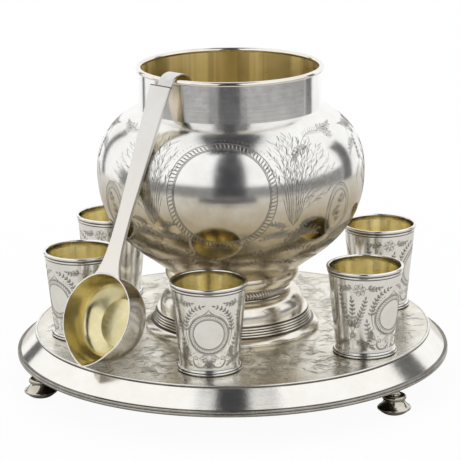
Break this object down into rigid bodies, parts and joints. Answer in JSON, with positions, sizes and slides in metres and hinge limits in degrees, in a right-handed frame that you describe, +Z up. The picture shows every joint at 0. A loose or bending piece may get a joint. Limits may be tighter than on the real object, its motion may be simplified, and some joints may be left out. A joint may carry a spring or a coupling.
{
  "type": "punch bowl",
  "caption": "Footed silver punch bowl with a hooked ladle and matching beakers, served on a round footed tray",
  "frame": {"origin": "on the surface it stands on, under the tray's axis", "axes": "+Z up, the front of the service at -Y, as the picture shows it"},
  "size_m": [0.3194, 0.3194, 0.2381],
  "materials": {
    "silver_polished": "polished silver with engraved ornament, gilt inside the bowl and the cups",
    "silver_satin": "satin silver strap and bowl, gilt inside the ladle",
    "silver_gilt": "polished gilding on silver"
  },
  "bodies": {
    "tray": {"tray_top": "silver_polished", "tray_lip": "silver_polished", "tray_skirt": "silver_polished", "tray_rim": "silver_polished", "tray_foot_1": "silver_polished", "tray_foot_2": "silver_polished", "tray_foot_3": "silver_polished"},
    "bowl": {"bowl_belly": "silver_polished", "bowl_neck": "silver_polished", "bowl_rim": "silver_polished", "bowl_stem": "silver_polished", "bowl_rope_band": "silver_polished", "bowl_foot_dome": "silver_polished", "bowl_foot_reeds": "silver_polished", "bowl_foot_base": "silver_polished"},
    "ladle": {"ladle_bowl": "silver_satin", "ladle_handle": "silver_satin", "ladle_hook": "silver_satin"},
    "cup_1": {"cup_1_wall": "silver_polished", "cup_1_rim": "silver_polished", "cup_1_floor": "silver_gilt"},
    "cup_2": {"cup_2_wall": "silver_polished", "cup_2_rim": "silver_polished", "cup_2_floor": "silver_gilt"},
    "cup_3": {"cup_3_wall": "silver_polished", "cup_3_rim": "silver_polished", "cup_3_floor": "silver_gilt"},
    "cup_4": {"cup_4_wall": "silver_polished", "cup_4_rim": "silver_polished", "cup_4_floor": "silver_gilt"},
    "cup_5": {"cup_5_wall": "silver_polished", "cup_5_rim": "silver_polished", "cup_5_floor": "silver_gilt"},
    "cup_6": {"cup_6_wall": "silver_polished", "cup_6_rim": "silver_polished", "cup_6_floor": "silver_gilt"}
  },
  "joints": [
    {"name": "bowl_lift", "type": "slide", "parent": "tray", "child": "bowl", "axis": [0, 0, 1], "range_m": [0, 0.11]},
    {"name": "ladle_lift", "type": "slide", "parent": "bowl", "child": "ladle", "axis": [-0.1732, -0.1923, 0.9659], "range_m": [0, 0.22]},
    {"name": "cup_1_lift", "type": "slide", "parent": "tray", "child": "cup_1", "axis": [-0.5255, 0.4731, 0.7071], "range_m": [0, 0.12]},
    {"name": "cup_2_lift", "type": "slide", "parent": "tray", "child": "cup_2", "axis": [-0.6941, -0.1349, 0.7071], "range_m": [0, 0.12]},
    {"name": "cup_3_lift", "type": "slide", "parent": "tray", "child": "cup_3", "axis": [-0.1106, -0.6984, 0.7071], "range_m": [0, 0.12]},
    {"name": "cup_4_lift", "type": "slide", "parent": "tray", "child": "cup_4", "axis": [0.5721, -0.4156, 0.7071], "range_m": [0, 0.12]},
    {"name": "cup_5_lift", "type": "slide", "parent": "tray", "child": "cup_5", "axis": [0.6556, 0.2649, 0.7071], "range_m": [0, 0.12]},
    {"name": "cup_6_lift", "type": "slide", "parent": "tray", "child": "cup_6", "axis": [0.0984, 0.7002, 0.7071], "range_m": [0, 0.12]}
  ]
}
